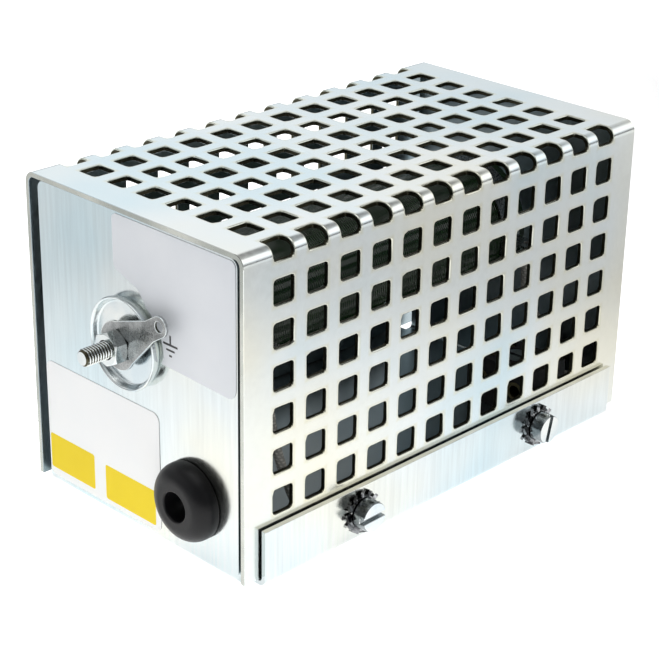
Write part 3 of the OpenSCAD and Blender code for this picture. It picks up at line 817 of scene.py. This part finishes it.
# Colours of the sky from straight below to straight above
SKY_STOPS = [(0.49, grey(0.9)), (0.51, (0.10, 0.10, 0.11)), (0.55, (0.14, 0.14, 0.15)),
             (0.60, (0.62, 0.64, 0.66)), (0.68, (0.86, 0.87, 0.88)), (0.82, grey(0.84)),
             (0.85, grey(0.30)), (0.88, grey(0.30)), (0.92, grey(0.75))]


def facing(tree, direction, way, low, high, from_low, from_high):
    """Value that goes from low to high as a direction comes nearer to a given one."""
    node = tree.nodes.new("ShaderNodeVectorMath")
    node.operation = "DOT_PRODUCT"
    node.inputs[1].default_value = way
    tree.links.new(direction, node.inputs[0])
    return span(tree, node.outputs["Value"], low, high, from_low, from_high)


def sky():
    """World light: brighter at both sides of the back, dark at the horizon, dim on the camera's side."""
    world = bpy.data.worlds.new("studio")
    world.use_nodes = True
    tree = world.node_tree
    direction = tree.nodes.new("ShaderNodeTexCoord").outputs["Generated"]
    _, _, height = axes_of(tree, direction)
    light = ramp(tree, span(tree, height, 0, 1, -1, 1), SKY_STOPS)
    key = facing(tree, direction, KEY_WAY, *KEY_GAIN)
    rim = facing(tree, direction, RIM_WAY, *RIM_GAIN)
    shade = facing(tree, direction, CAMERA_WAY, *CAMERA_GAIN)
    for factor in (key, rim, shade):
        light = blend(tree, 1.0, light, factor, "MULTIPLY")
    background = tree.nodes["Background"]
    tree.links.new(light, background.inputs["Color"])
    background.inputs["Strength"].default_value = 1.0
    bpy.context.scene.world = world


def softbox(name, place, aim, size, watts):
    """Square area light, turned towards a point."""
    light = bpy.data.lights.new(name, "AREA")
    light.shape = "RECTANGLE"
    light.size = size
    light.size_y = size
    light.energy = watts
    holder = bpy.data.objects.new(name, light)
    holder.location = place
    holder.rotation_euler = (Vector(aim) - Vector(place)).to_track_quat("-Z", "Y").to_euler()
    bpy.context.scene.collection.objects.link(holder)


GLOW_SPAN = 0.35
GLOW_BAND = [(0.10, grey(0.24)), (0.42, grey(1.0)), (0.60, grey(0.80)), (0.81, grey(0.03))]
GLOW_FAR = (0.24, 0.45)
GLOW_FAR_MOST = 0.5
PAPER_DARK = grey(0.90)
PAPER_PALE = grey(0.93)
PAPER_SCALE = 6
PAPER_ROUGH = 0.9


def light_table():
    """Pale floor that glows a little, most of all far out and in a band from the camera under the heater."""
    material, tree, shader, coords = new_material("floor_paper")
    cloud = noise(tree, coords, PAPER_SCALE)
    paper = ramp(tree, cloud, two_tone(PAPER_DARK, PAPER_PALE, *SOFT_STOPS))
    tree.links.new(paper, shader.inputs["Base Color"])
    shader.inputs["Roughness"].default_value = PAPER_ROUGH
    x, y, _ = axes_of(tree, coords)
    aside = number(tree, "ADD", x, y)
    squares = number(tree, "ADD", number(tree, "MULTIPLY", x, x), number(tree, "MULTIPLY", y, y))
    away = number(tree, "SQRT", squares)
    band = ramp(tree, span(tree, aside, 0, 1, -GLOW_SPAN, GLOW_SPAN), GLOW_BAND)
    glow = blend(tree, 1.0, band, span(tree, away, 0, GLOW_FAR_MOST, *GLOW_FAR), "LIGHTEN")
    tree.links.new(glow, shader.inputs["Emission Color"])
    shader.inputs["Emission Strength"].default_value = 1.0
    return material


FLOOR_HALF = 4.0
FLOOR_DROP = 0.2 * MM


def studio():
    """Floor, light and the plain view transform."""
    floor_mesh = bpy.data.meshes.new("floor")
    bm = bmesh.new()
    bmesh.ops.create_grid(bm, x_segments=2, y_segments=2, size=FLOOR_HALF)
    bm.to_mesh(floor_mesh)
    bm.free()
    floor = bpy.data.objects.new("floor", floor_mesh)
    floor.location.z = -FLOOR_DROP
    bpy.context.scene.collection.objects.link(floor)
    floor_mesh.materials.append(light_table())
    sky()
    softbox("overhead", place=(0.0, 0.0, 0.7), aim=(0.0, 0.0, 0.0), size=0.5, watts=1.0)
    bpy.context.scene.view_settings.view_transform = "Standard"


# Camera, solved from the grid of holes

CAMERA_PLACE = (0.28269, -0.29225, 0.21247)
CAMERA_RIGHT = Vector((0.70848, 0.70558, 0.01487))
CAMERA_UP = Vector((-0.29463, 0.27656, 0.91472))
CAMERA_LOOK = Vector((-0.64129, 0.65244, -0.40382))
SENSOR_MM = 36
LENS_MM = 102.48
SHIFT_X = 0.00432
SHIFT_Y = -0.0194
NEAREST = 0.01


def photo_camera():
    """Camera that looks at the heater as the photograph does."""
    data = bpy.data.cameras.new("photo_camera")
    data.sensor_width = SENSOR_MM
    data.lens = LENS_MM
    data.shift_x = SHIFT_X
    data.shift_y = SHIFT_Y
    data.clip_start = NEAREST
    camera = bpy.data.objects.new("photo_camera", data)
    axes = Matrix((CAMERA_RIGHT, CAMERA_UP, -CAMERA_LOOK)).transposed().to_4x4()
    camera.matrix_world = Matrix.Translation(CAMERA_PLACE) @ axes
    bpy.context.scene.collection.objects.link(camera)
    bpy.context.scene.camera = camera


studio()
photo_camera()
